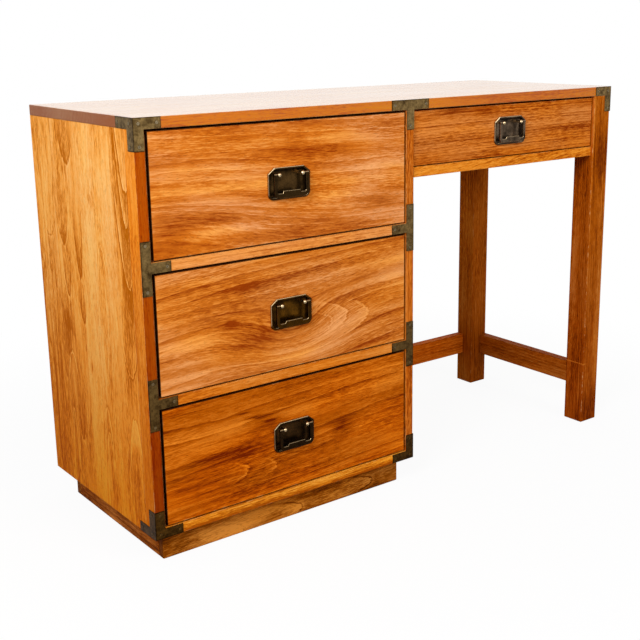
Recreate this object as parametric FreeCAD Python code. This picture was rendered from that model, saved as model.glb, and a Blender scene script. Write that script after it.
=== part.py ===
import FreeCAD, Part
import math
import os

# Single-pedestal campaign desk. Millimetres, +X to the right, the front faces -Y, +Z up.
# The origin is on the floor, at the middle of the footprint with the handles included.

# Case
desk_length = 1143.0
desk_height = 762.0
case_depth = 412.0
top_thickness = 19.0
top_ease = 1.2
pedestal_width = 576.5
side_thickness = 18.5
lipping_depth = 34.0
rail_thickness = 18.0
rail_depth = 60.0
bottom_thickness = 18.0
back_thickness = 9.0
runner_width = 25.0

# Plinth
plinth_height = 51.0
plinth_stock = 15.0
plinth_side_inset = 22.5
plinth_front_inset = 21.5
plinth_rear_inset = 36.5
plinth_ease = 2.5

# Legs, stretchers and kneehole frame
leg_width = 50.0
leg_ease = 1.6
stretcher_stock = 20.0
stretcher_height = 50.0
stretcher_underside = 75.0
knee_bay_height = 108.5
knee_rail_thickness = 19.5
knee_rail_depth = 40.0
knee_rail_setback = 5.0
knee_stock = 20.0
knee_runner_ledge = 20.0
knee_guide_height = 22.0

# Drawers
front_board = 19.0
lap_thickness = 7.0
drawer_wall = 12.0
drawer_panel = 6.0
panel_rise = 10.0
groove_depth = 5.0
groove_play = 0.15
drawer_side_drop = 8.0
drawer_rear_play = 8.0
runner_play = 0.3
case_side_gap = 4.4
case_head_gap = 3.0
case_foot_gap = 2.5
knee_side_gap = 1.5
knee_head_gap = 4.0
knee_foot_gap = 1.5
knee_drawer_setback = 6.5
front_ease = 1.0

# Pulls
pull_width = 88.0
pull_height = 56.0
case_pull_drop = 2.0
upper_pull_shift = 1.5
knee_pull_shift = 4.5
pull_chamfer_across = 13.0
pull_chamfer_down = 10.0
pull_corner_radius = 11.0
rim_rise = 3.0
rim_width = 4.0
rim_outer_round = 1.8
rim_inner_round = 1.2
tray_sink = 7.0
tray_wall = 1.5
dish_round = 4.0
mortise_play = 0.3
rivet_play = 0.05
post_spacing = 49.0
post_height = 15.5
post_radius = 2.5
ball_radius = 3.8
pivot_rise = 8.0
stub_radius = 1.6
stub_play = 0.08
stub_bite = 5.6
ball_gap = 0.3
bail_width = 72.0
bail_arm = 5.5
bail_thickness = 5.0
bail_bar = 7.5
bail_fall = 39.0
grip_length = 35.0
grip_swell = 4.0
grip_step = 2.0
bail_corner_radius = 8.0
bail_inner_radius = 3.0
bail_ease = 1.2

# Brackets and screws
plate_thickness = 1.0
plate_width = 17.5
plate_margin = 0.5
side_plate_width = 20.0
top_arm = 48.0
top_stem = 53.0
top_side_arm = 58.0
bottom_arm = 52.0
bottom_stem = 50.5
bottom_side_arm = 55.0
tee_bar = 90.0
tee_arm = 54.0
top_tee_stem = 55.5
screw_head_radius = 3.0
screw_head_dome = 0.35
screw_hole_play = 0.05
screw_end_margin = 7.0
screw_shank_radius = 1.5
screw_shank_length = 8.0
slot_width = 0.8
slot_depth = 0.6

arris = 0.8

# Places that follow from the sizes above
left_x = -desk_length / 2
right_x = desk_length / 2
pull_projection = pivot_rise + ball_radius
front_y = (pull_projection - case_depth) / 2
back_y = front_y + case_depth
case_top = desk_height - top_thickness
pedestal_right = left_x + pedestal_width
bay_left = left_x + side_thickness
bay_right = pedestal_right - side_thickness
bay_floor = plinth_height + bottom_thickness
bay_height = (case_top - bay_floor - 2 * rail_thickness) / 3
bay_pitch = bay_height + rail_thickness
leg_left = right_x - leg_width
rear_leg_front = back_y - leg_width
knee_floor = case_top - knee_bay_height
knee_rail_underside = knee_floor - knee_rail_thickness
back_face = back_y - back_thickness
knee_back_face = back_y - knee_stock
knee_rail_back = front_y + knee_rail_setback + knee_rail_depth


def vector(x, y, z):
    return FreeCAD.Vector(x, y, z)


def block(x0, x1, y0, y1, z0, z1):
    return Part.makeBox(x1 - x0, y1 - y0, z1 - z0, vector(x0, y0, z0))


def board(x0, x1, y0, y1, z0, z1, ease=arris):
    """A squared board whose twelve edges are eased."""
    blank = block(x0, x1, y0, y1, z0, z1)
    thinnest = min(x1 - x0, y1 - y0, z1 - z0)
    return blank.makeFillet(min(ease, thinnest / 3), blank.Edges)


def save(node, solids):
    shape = solids[0] if len(solids) == 1 else Part.makeCompound(solids)
    shape.exportStep(os.path.join("parts", node + ".step"))


# Case

def desk_top():
    return board(left_x, right_x, front_y, back_y, case_top, desk_height, top_ease)


def side_panel(x0):
    return board(x0, x0 + side_thickness, front_y + lipping_depth, back_y, plinth_height, case_top)


def side_lipping(x0):
    lipping_back = front_y + lipping_depth
    return board(x0, x0 + side_thickness, front_y, lipping_back, plinth_height, case_top)


def divider_rail(level):
    underside = bay_floor + level * bay_pitch - rail_thickness
    rail_back = front_y + rail_depth
    return board(bay_left, bay_right, front_y, rail_back, underside, underside + rail_thickness)


def divider_runners(level):
    """The pair of strips behind a divider rail that carry the drawer sides."""
    underside = bay_floor + level * bay_pitch - rail_thickness
    rail_back = front_y + rail_depth
    top = underside + rail_thickness
    runners = []
    for x0 in (bay_left, bay_right - runner_width):
        runners.append(board(x0, x0 + runner_width, rail_back, back_face, underside, top))
    return runners


def pedestal_bottom():
    return board(bay_left, bay_right, front_y, back_face, plinth_height, bay_floor)


def pedestal_back():
    return board(bay_left, bay_right, back_face, back_y, plinth_height, case_top)


def plinth_boards():
    """Front and back boards lap over the ends of the two side boards."""
    x0 = left_x + plinth_side_inset
    x1 = pedestal_right - plinth_side_inset
    y0 = front_y + plinth_front_inset
    y1 = back_y - plinth_rear_inset
    inner_front = y0 + plinth_stock
    inner_back = y1 - plinth_stock
    ease = plinth_ease
    return {
        "plinth_front": board(x0, x1, y0, inner_front, 0, plinth_height, ease),
        "plinth_back": board(x0, x1, inner_back, y1, 0, plinth_height, ease),
        "plinth_left": board(x0, x0 + plinth_stock, inner_front, inner_back, 0, plinth_height, ease),
        "plinth_right": board(x1 - plinth_stock, x1, inner_front, inner_back, 0, plinth_height, ease),
    }


def leg(y0):
    return board(leg_left, right_x, y0, y0 + leg_width, 0, case_top, leg_ease)


def side_stretcher():
    y0 = front_y + leg_width
    top = stretcher_underside + stretcher_height
    return board(right_x - stretcher_stock, right_x, y0, rear_leg_front, stretcher_underside, top)


def rear_stretcher():
    y0 = back_y - stretcher_stock
    top = stretcher_underside + stretcher_height
    return board(pedestal_right, leg_left, y0, back_y, stretcher_underside, top)


def kneehole_front_rail():
    y0 = front_y + knee_rail_setback
    return board(pedestal_right, leg_left, y0, knee_rail_back, knee_rail_underside, knee_floor)


def kneehole_back_rail():
    return board(pedestal_right, leg_left, knee_back_face, back_y, knee_rail_underside, case_top)


def kneehole_side_apron():
    x0 = right_x - knee_stock
    y0 = front_y + leg_width
    return board(x0, right_x, y0, rear_leg_front, knee_rail_underside, case_top)


def kneehole_runners():
    """A ledge on the pedestal, a ledge on the side apron and the guide that stands on it."""
    ledge = knee_runner_ledge
    z0 = knee_rail_underside
    apron_face = right_x - knee_stock
    leg_back = front_y + leg_width
    guide_top = knee_floor + knee_guide_height
    left = board(pedestal_right, pedestal_right + ledge, knee_rail_back, knee_back_face, z0, knee_floor)
    right = board(leg_left - ledge, apron_face, leg_back, rear_leg_front, z0, knee_floor)
    guide = board(leg_left, apron_face, leg_back, rear_leg_front, knee_floor, guide_top)
    return [left, right, guide]


# Drawers

def pedestal_drawer(name, level, pull_shift):
    z0 = bay_floor + level * bay_pitch
    return {
        "name": name,
        "bay": (bay_left, bay_right, z0, z0 + bay_height),
        "gaps": (case_side_gap, case_foot_gap, case_head_gap),
        "face": front_y,
        "back_limit": back_face,
        "pull_shift": pull_shift,
        "pull_drop": case_pull_drop,
    }


def kneehole_drawer():
    return {
        "name": "kneehole",
        "bay": (pedestal_right, leg_left, knee_floor, case_top),
        "gaps": (knee_side_gap, knee_foot_gap, knee_head_gap),
        "face": front_y + knee_drawer_setback,
        "back_limit": knee_back_face,
        "pull_shift": knee_pull_shift,
        "pull_drop": 0.0,
    }


def drawer_plan(drawer):
    """The places that the pieces of one drawer share."""
    bay_x0, bay_x1, bay_z0, bay_z1 = drawer["bay"]
    side_gap, foot_gap, head_gap = drawer["gaps"]
    plan = {
        "x0": bay_x0 + side_gap,
        "x1": bay_x1 - side_gap,
        "front_z0": bay_z0 + foot_gap,
        "front_z1": bay_z1 - head_gap,
        "face": drawer["face"],
        "front_back": drawer["face"] + front_board,
        "lap_back": drawer["face"] + lap_thickness,
        "rear": drawer["back_limit"] - drawer_rear_play,
        "wall_z0": bay_z0 + runner_play,
        "wall_z1": bay_z1 - head_gap - drawer_side_drop,
    }
    plan["groove_z0"] = plan["wall_z0"] + panel_rise
    plan["groove_z1"] = plan["groove_z0"] + drawer_panel + 2 * groove_play
    plan["pull_x"] = (plan["x0"] + plan["x1"]) / 2 + drawer["pull_shift"]
    plan["pull_z"] = (plan["front_z0"] + plan["front_z1"]) / 2 - drawer["pull_drop"]
    return plan


def drawer_front(plan):
    """Front board, rabbeted for the sides, grooved for the panel and mortised for the pull."""
    front = board(plan["x0"], plan["x1"], plan["face"], plan["front_back"],
                  plan["front_z0"], plan["front_z1"], front_ease)
    z0 = plan["front_z0"] - 1
    z1 = plan["front_z1"] + 1
    for x0, x1 in ((plan["x0"] - 1, plan["x0"] + drawer_wall), (plan["x1"] - drawer_wall, plan["x1"] + 1)):
        front = front.cut(block(x0, x1, plan["lap_back"], plan["front_back"] + 1, z0, z1))
    groove_y = plan["front_back"] - groove_depth
    inner_x0 = plan["x0"] + drawer_wall
    inner_x1 = plan["x1"] - drawer_wall
    groove = block(inner_x0, inner_x1, groove_y, plan["front_back"] + 1,
                   plan["groove_z0"], plan["groove_z1"])
    front = front.cut(groove)
    mortise_depth = tray_sink + mortise_play
    inset = rim_width - tray_wall - mortise_play
    mortise = pull_prism(plan, inset, plan["face"] - 1, plan["face"] + mortise_depth)
    return front.cut(mortise)


def drawer_sides(plan):
    sides = []
    inner_x0 = plan["x0"] + drawer_wall
    inner_x1 = plan["x1"] - drawer_wall
    for x0, groove_x0 in ((plan["x0"], inner_x0 - groove_depth), (inner_x1, inner_x1)):
        side = board(x0, x0 + drawer_wall, plan["lap_back"], plan["rear"],
                     plan["wall_z0"], plan["wall_z1"])
        groove = block(groove_x0, groove_x0 + groove_depth, plan["lap_back"] - 1, plan["rear"] + 1,
                       plan["groove_z0"], plan["groove_z1"])
        sides.append(side.cut(groove))
    return sides


def drawer_back(plan):
    inner_x0 = plan["x0"] + drawer_wall
    inner_x1 = plan["x1"] - drawer_wall
    y0 = plan["rear"] - drawer_wall
    return board(inner_x0, inner_x1, y0, plan["rear"], plan["groove_z1"], plan["wall_z1"])


def drawer_bottom(plan):
    tongue = groove_depth - groove_play
    x0 = plan["x0"] + drawer_wall - tongue
    x1 = plan["x1"] - drawer_wall + tongue
    y0 = plan["front_back"] - tongue
    z0 = plan["groove_z0"] + groove_play
    return block(x0, x1, y0, plan["rear"], z0, z0 + drawer_panel)


# Pulls

def pull_outline(inset):
    """Corners clipped at the top and rounded at the bottom, drawn parallel to the pull's edge."""
    across = pull_chamfer_across
    down = pull_chamfer_down
    half = pull_width / 2 - inset
    top = pull_height / 2 - inset
    radius = pull_corner_radius - inset
    slant = down * (pull_width / 2 - across) + across * pull_height / 2 - inset * math.hypot(across, down)
    clip_x = (slant - across * top) / down
    clip_z = (slant - down * half) / across
    low = radius - top
    bend = radius * math.sqrt(0.5)
    side_x = half - radius
    corners = [(-clip_x, top), (clip_x, top), (half, clip_z), (half, low)]
    edges = []
    for (xa, za), (xb, zb) in zip(corners, corners[1:]):
        edges.append(Part.LineSegment(vector(xa, 0, za), vector(xb, 0, zb)).toShape())
    right_mid = vector(side_x + bend, 0, low - bend)
    edges.append(Part.Arc(vector(half, 0, low), right_mid, vector(side_x, 0, -top)).toShape())
    edges.append(Part.LineSegment(vector(side_x, 0, -top), vector(-side_x, 0, -top)).toShape())
    left_mid = vector(-side_x - bend, 0, low - bend)
    edges.append(Part.Arc(vector(-side_x, 0, -top), left_mid, vector(-half, 0, low)).toShape())
    edges.append(Part.LineSegment(vector(-half, 0, low), vector(-half, 0, clip_z)).toShape())
    edges.append(Part.LineSegment(vector(-half, 0, clip_z), vector(-clip_x, 0, top)).toShape())
    return Part.Face(Part.Wire(edges))


def pull_prism(plan, inset, y0, y1):
    face = pull_outline(inset)
    face.translate(vector(plan["pull_x"], y0, plan["pull_z"]))
    return face.extrude(vector(0, y1 - y0, 0))


def edges_at_y(shape, y):
    """The edges that lie wholly in one plane across Y."""
    found = []
    for edge in shape.Edges:
        box = edge.BoundBox
        if abs(box.YMin - y) < 0.001 and abs(box.YMax - y) < 0.001:
            found.append(edge)
    return found


def pull_tray(plan):
    """Cast tray: a rounded rim that stands on the drawer front and a dish sunk behind it."""
    face = plan["face"]
    rim_face = face - rim_rise
    rim = pull_prism(plan, 0, rim_face, face)
    rim = rim.makeFillet(rim_outer_round, edges_at_y(rim, rim_face))
    tray = rim.fuse(pull_prism(plan, rim_width - tray_wall, face, face + tray_sink))
    floor = face + tray_sink - tray_wall
    dish = pull_prism(plan, rim_width, rim_face - 1, floor)
    dish = dish.makeFillet(dish_round, edges_at_y(dish, floor))
    tray = tray.cut(dish).removeSplitter()
    lips = edges_at_y(tray, rim_face)
    tray = tray.makeFillet(rim_inner_round, [edge for edge in lips if on_dish_edge(plan, edge)])
    hole_radius = post_radius + rivet_play
    for x in post_places(plan):
        start = vector(x, face, plan["pull_z"] + post_height)
        tray = tray.cut(Part.makeCylinder(hole_radius, tray_sink + 1, start, vector(0, 1, 0)))
    return tray


def on_dish_edge(plan, edge):
    """Whether an edge of the rim's face belongs to the dish and not to the rim's outside."""
    middle = edge.valueAt((edge.FirstParameter + edge.LastParameter) / 2)
    outline = pull_outline(rim_width)
    outline.translate(vector(plan["pull_x"], middle.y, plan["pull_z"]))
    return outline.OuterWire.distToShape(Part.Vertex(middle))[0] < 0.1


def post_places(plan):
    return (plan["pull_x"] - post_spacing / 2, plan["pull_x"] + post_spacing / 2)


def pull_posts(plan):
    """Ball-headed posts, riveted through the tray and bored on their outer sides for the bail."""
    posts = []
    pivot_y = plan["face"] - pivot_rise
    pivot_z = plan["pull_z"] + post_height
    for x, outward in zip(post_places(plan), (-1, 1)):
        centre = vector(x, pivot_y, pivot_z)
        shaft = Part.makeCylinder(post_radius, pivot_rise + tray_sink, centre, vector(0, 1, 0))
        ball = Part.makeSphere(ball_radius, centre)
        bore_start = vector(x + outward * (ball_radius - stub_bite - ball_gap), pivot_y, pivot_z)
        bore = Part.makeCylinder(stub_radius + stub_play, 2 * ball_radius, bore_start, vector(outward, 0, 0))
        posts.append(shaft.fuse(ball).cut(bore))
    return posts


def bail_outline(plan):
    """The hanging loop seen from the front, from the pivots down to the swollen grip."""
    pivot_z = plan["pull_z"] + post_height
    half = bail_width / 2
    inner = half - bail_arm
    bottom = pivot_z - bail_fall
    bar_top = bottom + bail_bar
    grip_top = bar_top + grip_swell
    outer_r = bail_corner_radius
    inner_r = bail_inner_radius
    grip_half = grip_length / 2
    outer_bend = outer_r * (1 - math.sqrt(0.5))
    inner_bend = inner_r * (1 - math.sqrt(0.5))
    path = [
        ("line", (half, pivot_z), (half, bottom + outer_r)),
        ("arc", (half, bottom + outer_r), (half - outer_bend, bottom + outer_bend), (half - outer_r, bottom)),
        ("line", (half - outer_r, bottom), (-half + outer_r, bottom)),
        ("arc", (-half + outer_r, bottom), (-half + outer_bend, bottom + outer_bend),
         (-half, bottom + outer_r)),
        ("line", (-half, bottom + outer_r), (-half, pivot_z)),
        ("line", (-half, pivot_z), (-inner, pivot_z)),
        ("line", (-inner, pivot_z), (-inner, bar_top + inner_r)),
        ("arc", (-inner, bar_top + inner_r), (-inner + inner_bend, bar_top + inner_bend),
         (-inner + inner_r, bar_top)),
        ("line", (-inner + inner_r, bar_top), (-grip_half - grip_step, bar_top)),
        ("line", (-grip_half - grip_step, bar_top), (-grip_half, grip_top)),
        ("line", (-grip_half, grip_top), (grip_half, grip_top)),
        ("line", (grip_half, grip_top), (grip_half + grip_step, bar_top)),
        ("line", (grip_half + grip_step, bar_top), (inner - inner_r, bar_top)),
        ("arc", (inner - inner_r, bar_top), (inner - inner_bend, bar_top + inner_bend),
         (inner, bar_top + inner_r)),
        ("line", (inner, bar_top + inner_r), (inner, pivot_z)),
        ("line", (inner, pivot_z), (half, pivot_z)),
    ]
    edges = []
    for kind, *points in path:
        places = [vector(plan["pull_x"] + x, 0, z) for x, z in points]
        curve = Part.Arc(*places) if kind == "arc" else Part.LineSegment(*places)
        edges.append(curve.toShape())
    return Part.Face(Part.Wire(edges))


def pull_bail(plan):
    """The loop, with eased long edges, a round eye at each pivot and a stub that enters the ball."""
    pivot_y = plan["face"] - pivot_rise
    pivot_z = plan["pull_z"] + post_height
    back = pivot_y + bail_thickness / 2
    loop = bail_outline(plan)
    loop.translate(vector(0, back - bail_thickness, 0))
    loop = loop.extrude(vector(0, bail_thickness, 0))
    rims = edges_at_y(loop, back) + edges_at_y(loop, back - bail_thickness)
    long_edges = [edge for edge in rims if edge.BoundBox.ZMin < pivot_z - 0.01]
    bail = loop.makeFillet(bail_ease, long_edges)
    half = bail_width / 2
    for x, outward in zip(post_places(plan), (-1, 1)):
        collar_start = x + outward * (ball_radius + ball_gap)
        collar_end = plan["pull_x"] + outward * half
        collar = Part.makeCylinder(bail_thickness / 2, abs(collar_end - collar_start),
                                   vector(collar_start, pivot_y, pivot_z), vector(outward, 0, 0))
        stub_start = x + outward * (ball_radius - stub_bite)
        stub = Part.makeCylinder(stub_radius, stub_bite + ball_gap + 1,
                                 vector(stub_start, pivot_y, pivot_z), vector(outward, 0, 0))
        bail = bail.fuse([collar, stub])
    return bail.removeSplitter()


# Brackets: flat plates on the wood, some of them folded round a corner

def front_plate(x0, x1, z0, z1):
    return block(x0, x1, front_y - plate_thickness, front_y, z0, z1)


def end_plate(flank, side, reach, z0, z1):
    """A plate on a left (-1) or right (+1) flank."""
    x0 = flank if side > 0 else flank - plate_thickness
    return block(x0, x0 + plate_thickness, front_y - plate_thickness, front_y + reach, z0, z1)


def corner_bracket(flank, side, arm, stem, flank_arm, arm_z0, arm_z1, stem_z0, stem_z1):
    """An L on the front and an L on the flank, folded from one plate."""
    edge = flank + side * plate_thickness
    arm_end = flank - side * arm
    stem_end = flank - side * stem
    pieces = [
        front_plate(min(edge, arm_end), max(edge, arm_end), arm_z0, arm_z1),
        front_plate(min(edge, stem_end), max(edge, stem_end), stem_z0, stem_z1),
        end_plate(flank, side, flank_arm, arm_z0, arm_z1),
        end_plate(flank, side, side_plate_width, stem_z0, stem_z1),
    ]
    return pieces[0].fuse(pieces[1:]).removeSplitter()


def screw_spot(x, y, z, direction):
    return {"at": vector(x, y, z), "out": vector(*direction)}


def corner_spots(flank, side, arm, stem, flank_arm, arm_z, stem_z):
    """Three screws on the front leaf and three on the flank leaf of a corner bracket."""
    stem_x = flank - side * stem / 2
    arm_x = flank - side * (arm - screw_end_margin)
    front = (0, -1, 0)
    out = (side, 0, 0)
    stem_y = front_y + side_plate_width / 2 + screw_shank_radius
    arm_y = front_y + flank_arm - screw_end_margin
    return [
        screw_spot(stem_x, front_y, arm_z, front),
        screw_spot(arm_x, front_y, arm_z, front),
        screw_spot(stem_x, front_y, stem_z, front),
        screw_spot(flank, stem_y, arm_z, out),
        screw_spot(flank, arm_y, arm_z, out),
        screw_spot(flank, stem_y, stem_z, out),
    ]


def bracket_plans():
    """Every bracket with the solid it starts from and its screws."""
    top_z0 = case_top + plate_margin
    top_mid = (top_z0 + desk_height) / 2
    top_stem_z0 = desk_height - top_stem
    low_z1 = plinth_height + plate_width
    low_mid = plinth_height + plate_width / 2
    low_stem_z1 = plinth_height + bottom_stem
    plans = {}
    top_corners = (("bracket_top_left", left_x, -1), ("bracket_top_right", right_x, 1))
    for node, flank, side in top_corners:
        shape = corner_bracket(flank, side, top_arm, plate_width, top_side_arm,
                               top_z0, desk_height, top_stem_z0, desk_height)
        spots = corner_spots(flank, side, top_arm, plate_width, top_side_arm,
                             top_mid, top_stem_z0 + screw_end_margin)
        plans[node] = [(shape, spots)]
    bottom_corners = (("bracket_bottom_left", left_x, -1), ("bracket_bottom_right", pedestal_right, 1))
    for node, flank, side in bottom_corners:
        shape = corner_bracket(flank, side, bottom_arm, plate_width, bottom_side_arm,
                               plinth_height, low_z1, plinth_height, low_stem_z1)
        spots = corner_spots(flank, side, bottom_arm, plate_width, bottom_side_arm,
                             low_mid, low_stem_z1 - screw_end_margin)
        plans[node] = [(shape, spots)]
    tees = (("brackets_tee_left", left_x, -1), ("brackets_tee_right", pedestal_right, 1))
    for node, flank, side in tees:
        plans[node] = [tee_bracket(flank, side, level) for level in (2, 1)]
    plans["bracket_tee_top"] = [top_tee_bracket(top_z0, top_mid)]
    return plans


def tee_bracket(flank, side, level):
    """A bar up the stile and an arm along the divider rail."""
    middle = bay_floor + level * bay_pitch - rail_thickness / 2
    outer = flank - side * plate_margin
    inner = flank - side * (plate_margin + plate_width)
    arm_end = flank - side * tee_arm
    half = plate_width / 2
    bar = front_plate(min(outer, inner), max(outer, inner), middle - tee_bar / 2, middle + tee_bar / 2)
    arm = front_plate(min(outer, arm_end), max(outer, arm_end), middle - half, middle + half)
    bar_x = (outer + inner) / 2
    bar_screw = tee_bar / 2 - screw_end_margin
    arm_x = arm_end + side * screw_end_margin
    front = (0, -1, 0)
    spots = [
        screw_spot(bar_x, front_y, middle + bar_screw, front),
        screw_spot(bar_x, front_y, middle - bar_screw, front),
        screw_spot(arm_x, front_y, middle, front),
    ]
    return bar.fuse(arm).removeSplitter(), spots


def top_tee_bracket(z0, middle):
    """The tee that ties the desk top to the pedestal's right stile."""
    centre = pedestal_right - plate_width / 2
    bar = front_plate(centre - tee_bar / 2, centre + tee_bar / 2, z0, desk_height)
    stem_z0 = desk_height - top_tee_stem
    stem = front_plate(centre - plate_width / 2, pedestal_right, stem_z0, desk_height)
    bar_screw = tee_bar / 2 - screw_end_margin
    front = (0, -1, 0)
    spots = [
        screw_spot(centre - bar_screw, front_y, middle, front),
        screw_spot(centre + bar_screw, front_y, middle, front),
        screw_spot(centre, front_y, stem_z0 + screw_end_margin, front),
    ]
    return bar.fuse(stem).removeSplitter(), spots


def drilled(shape, spots):
    """The bracket with a hole for each screw head."""
    hole_radius = screw_head_radius + screw_hole_play
    for spot in spots:
        start = spot["at"] - spot["out"]
        shape = shape.cut(Part.makeCylinder(hole_radius, plate_thickness + 2, start, spot["out"]))
    return shape


def screw(spot, turn):
    """A domed slotted head that fills the plate's hole, and a short shank in the wood."""
    out = spot["out"]
    head_height = plate_thickness + screw_head_dome
    head = Part.makeCylinder(screw_head_radius, head_height, spot["at"], out)
    crown = [edge for edge in head.Edges if edge.Length > screw_head_radius and
             edge.CenterOfMass.distanceToPoint(spot["at"] + out * head_height) < 0.01]
    head = head.makeFillet(screw_head_dome * 0.9, crown)
    slot_length = 2 * screw_head_radius + 1
    slot = Part.makeBox(slot_length, slot_width, 2 * slot_depth,
                        vector(-slot_length / 2, -slot_width / 2, head_height - slot_depth))
    slot.rotate(vector(0, 0, 0), vector(0, 0, 1), turn)
    turned = FreeCAD.Placement(spot["at"], FreeCAD.Rotation(vector(0, 0, 1), out))
    slot.Placement = turned.multiply(slot.Placement)
    tip = spot["at"] - out * screw_shank_length
    shank = Part.makeCylinder(screw_shank_radius, screw_shank_length, tip, out)
    return head.cut(slot).fuse(shank)


def save_brackets():
    screws = []
    for node, plates in bracket_plans().items():
        save(node, [drilled(shape, spots) for shape, spots in plates])
        for shape, spots in plates:
            for spot in spots:
                screws.append(screw(spot, 37.0 * len(screws)))
    save("bracket_screws", screws)


def save_case():
    save("desk_top", [desk_top()])
    save("left_side_panel", [side_panel(left_x)])
    save("left_side_lipping", [side_lipping(left_x)])
    save("right_side_panel", [side_panel(bay_right)])
    save("right_side_lipping", [side_lipping(bay_right)])
    for level, name in ((2, "upper"), (1, "lower")):
        save(name + "_divider_rail", [divider_rail(level)])
        save(name + "_divider_runners", divider_runners(level))
    save("pedestal_bottom", [pedestal_bottom()])
    save("pedestal_back", [pedestal_back()])
    for node, shape in plinth_boards().items():
        save(node, [shape])
    save("front_leg", [leg(front_y)])
    save("rear_leg", [leg(rear_leg_front)])
    save("side_stretcher", [side_stretcher()])
    save("rear_stretcher", [rear_stretcher()])
    save("kneehole_front_rail", [kneehole_front_rail()])
    save("kneehole_back_rail", [kneehole_back_rail()])
    save("kneehole_side_apron", [kneehole_side_apron()])
    save("kneehole_runners", kneehole_runners())


def save_drawer(drawer):
    plan = drawer_plan(drawer)
    name = drawer["name"] + "_drawer_"
    save(name + "front", [drawer_front(plan)])
    save(name + "sides", drawer_sides(plan))
    save(name + "back", [drawer_back(plan)])
    save(name + "bottom", [drawer_bottom(plan)])
    save(name + "pull_tray", [pull_tray(plan)])
    save(name + "pull_posts", pull_posts(plan))
    save(name + "pull_bail", [pull_bail(plan)])


os.makedirs("parts", exist_ok=True)
save_case()
save_brackets()
save_drawer(pedestal_drawer("lower", 0, 0.0))
save_drawer(pedestal_drawer("middle", 1, 0.0))
save_drawer(pedestal_drawer("upper", 2, upper_pull_shift))
save_drawer(kneehole_drawer())
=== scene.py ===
import math

import bpy
from mathutils import Matrix, Vector


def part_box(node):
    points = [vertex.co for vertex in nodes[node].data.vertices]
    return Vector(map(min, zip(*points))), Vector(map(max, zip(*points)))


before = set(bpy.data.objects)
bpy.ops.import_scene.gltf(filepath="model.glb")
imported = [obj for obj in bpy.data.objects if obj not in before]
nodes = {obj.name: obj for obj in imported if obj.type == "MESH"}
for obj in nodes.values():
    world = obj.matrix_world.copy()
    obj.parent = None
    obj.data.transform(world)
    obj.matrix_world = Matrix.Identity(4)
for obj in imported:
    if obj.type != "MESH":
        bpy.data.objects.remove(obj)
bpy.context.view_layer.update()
print("frame loaded:", len(nodes), "nodes")


# screen colours from 0 to 255, made linear
def tint(red, green, blue):
    linear = [((c / 255 + 0.055) / 1.055) ** 2.4 if c > 10 else c / 255 / 12.92 for c in (red, green, blue)]
    return (*linear, 1.0)


# camera

camera = {
    "place": (-1.33112, -1.71554, 0.89678),
    "turn": 37.51,  # degrees to the right of straight ahead
    "dip": 13.79,  # degrees down
    "roll": -0.66,
    "lens": 60.31,
    "shift": (-0.0349, -0.0494),
}


def makeCamera():
    turn, dip, roll = (math.radians(camera[k]) for k in ("turn", "dip", "roll"))
    ahead = Vector((math.sin(turn) * math.cos(dip), math.cos(turn) * math.cos(dip), -math.sin(dip)))
    right = ahead.cross(Vector((0, 0, 1))).normalized()
    up = right.cross(ahead)
    rightRolled = math.cos(roll) * right + math.sin(roll) * up
    upRolled = math.cos(roll) * up - math.sin(roll) * right
    pose = Matrix((rightRolled, upRolled, -ahead)).transposed().to_4x4()
    pose.translation = camera["place"]
    data = bpy.data.cameras.new("camera")
    data.lens = camera["lens"]
    data.shift_x, data.shift_y = camera["shift"]
    body = bpy.data.objects.new("camera", data)
    body.matrix_world = pose
    bpy.context.scene.collection.objects.link(body)
    bpy.context.scene.camera = body


makeCamera()
print("camera placed")


# node helpers

def addNode(tree, kind, inputs=None, **settings):
    node = tree.nodes.new(kind)
    for name, value in settings.items():
        setattr(node, name, value)
    for name, value in (inputs or {}).items():
        plug(tree, value, node.inputs[name])
    return node


def plug(tree, value, socket):
    if isinstance(value, bpy.types.NodeSocket):
        tree.links.new(value, socket)
    else:
        socket.default_value = value


def maths(tree, operation, *values, clamp=False):
    node = addNode(tree, "ShaderNodeMath", operation=operation, use_clamp=clamp)
    for value, socket in zip(values, node.inputs):
        plug(tree, value, socket)
    return node.outputs[0]


def add(tree, first, second, clamp=False):
    return maths(tree, "ADD", first, second, clamp=clamp)


def less(tree, first, second):
    return maths(tree, "SUBTRACT", first, second)


def times(tree, first, second, clamp=False):
    return maths(tree, "MULTIPLY", first, second, clamp=clamp)


def over(tree, first, second):
    return maths(tree, "DIVIDE", first, second)


def square(tree, value):
    return times(tree, value, value)


# one in the middle, falling smoothly to nothing on both sides
def bell(tree, value):
    return maths(tree, "EXPONENT", times(tree, square(tree, value), -1.0))


def scaled(tree, value, share, start):
    return add(tree, times(tree, value, share), start)


def around(tree, value, middle, strength):
    return times(tree, less(tree, value, middle), strength)


def sumOf(tree, values):
    total = 0.0
    for value in values:
        total = add(tree, total, value)
    return total


def vectorMaths(tree, operation, *values):
    node = addNode(tree, "ShaderNodeVectorMath", operation=operation)
    for value, socket in zip(values, node.inputs):
        plug(tree, value, socket)
    return node.outputs["Value" if operation in ("LENGTH", "DOT_PRODUCT") else "Vector"]


# how far a place lies inside a box, along each axis
def insideBox(tree, place, low, high):
    return vectorMaths(tree, "MINIMUM", vectorMaths(tree, "SUBTRACT", place, low),
                       vectorMaths(tree, "SUBTRACT", high, place))


def split(tree, vector):
    return addNode(tree, "ShaderNodeSeparateXYZ", {"Vector": vector}).outputs


def join(tree, x=0.0, y=0.0, z=0.0):
    return addNode(tree, "ShaderNodeCombineXYZ", {"X": x, "Y": y, "Z": z}).outputs[0]


def ramp(tree, value, start, end, low=0.0, high=1.0):
    node = addNode(tree, "ShaderNodeMapRange", interpolation_type="SMOOTHSTEP")
    for entry, socket in zip((value, start, end, low, high), node.inputs):
        plug(tree, entry, socket)
    return node.outputs[0]


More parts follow.
